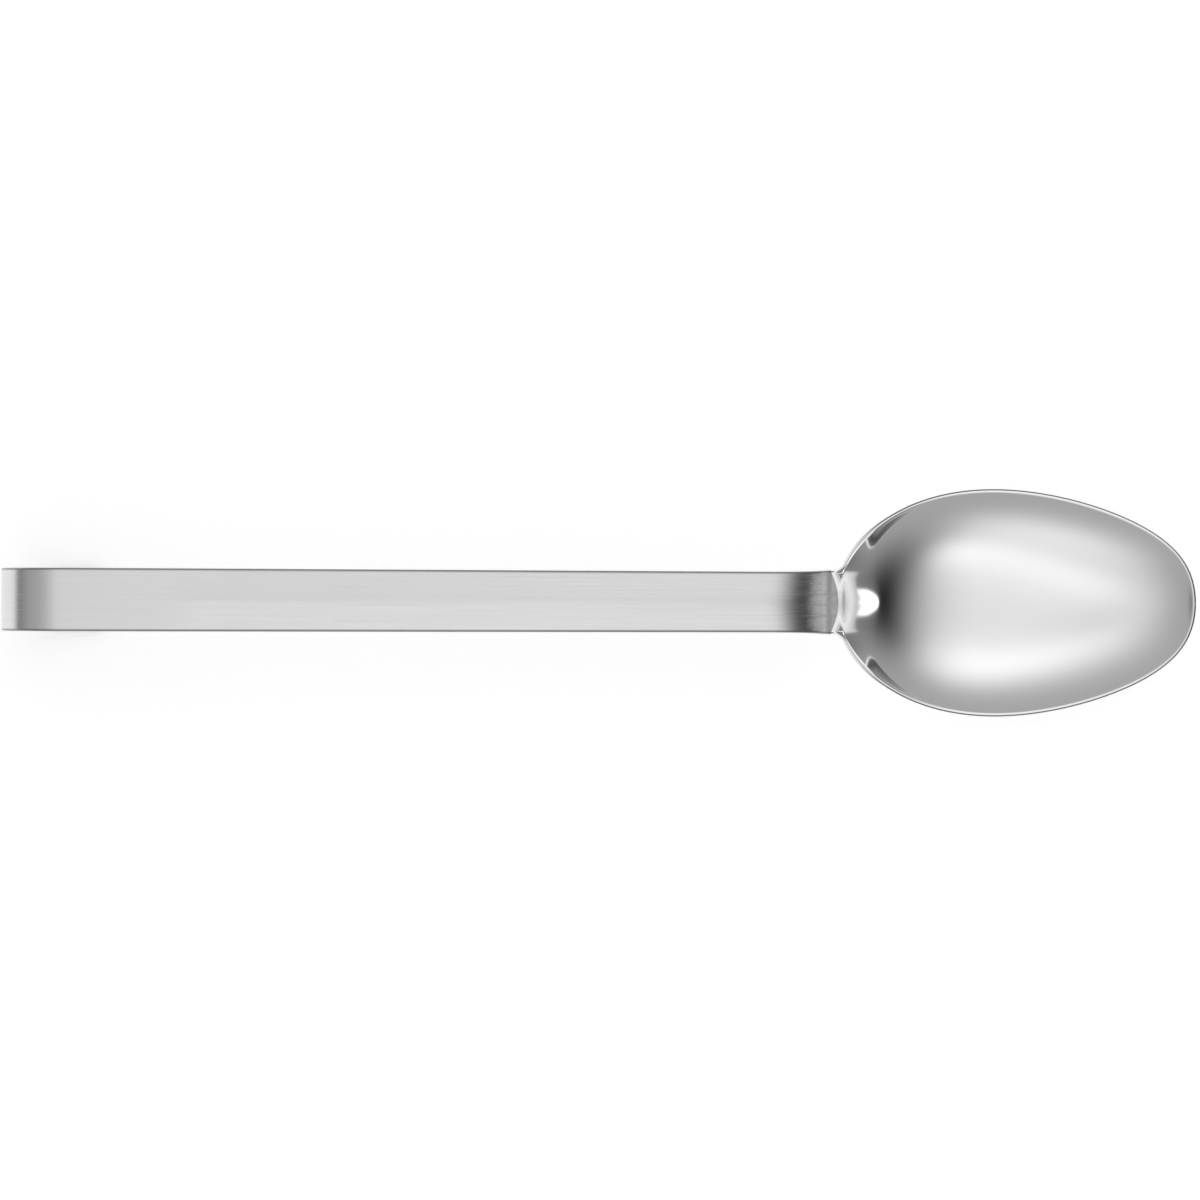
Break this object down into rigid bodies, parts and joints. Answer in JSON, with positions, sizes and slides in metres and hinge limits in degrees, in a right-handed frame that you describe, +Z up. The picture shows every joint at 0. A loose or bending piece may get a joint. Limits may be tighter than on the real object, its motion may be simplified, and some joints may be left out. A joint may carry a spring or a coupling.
{
  "type": "serving spoon",
  "caption": "Serving spoon with an egg-shaped polished bowl, a satin strip handle with a low ridge that cranks down to it, and a bent hanging hook",
  "frame": {"origin": "on the table under the middle of the bounding box, with the spoon lying on its bowl and on its hook's return leg", "axes": "+Z up out of the bowl, +X along the handle toward the bowl's tip, +Y across the handle"},
  "size_m": [0.33, 0.063, 0.0356],
  "materials": {
    "polished_steel": "mirror-polished stainless steel",
    "satin_steel": "satin stainless steel, grain along the handle"
  },
  "bodies": {
    "root": {"spoon_bowl": "polished_steel", "neck_weld": "satin_steel", "handle_strap": "satin_steel"}
  },
  "joints": []
}
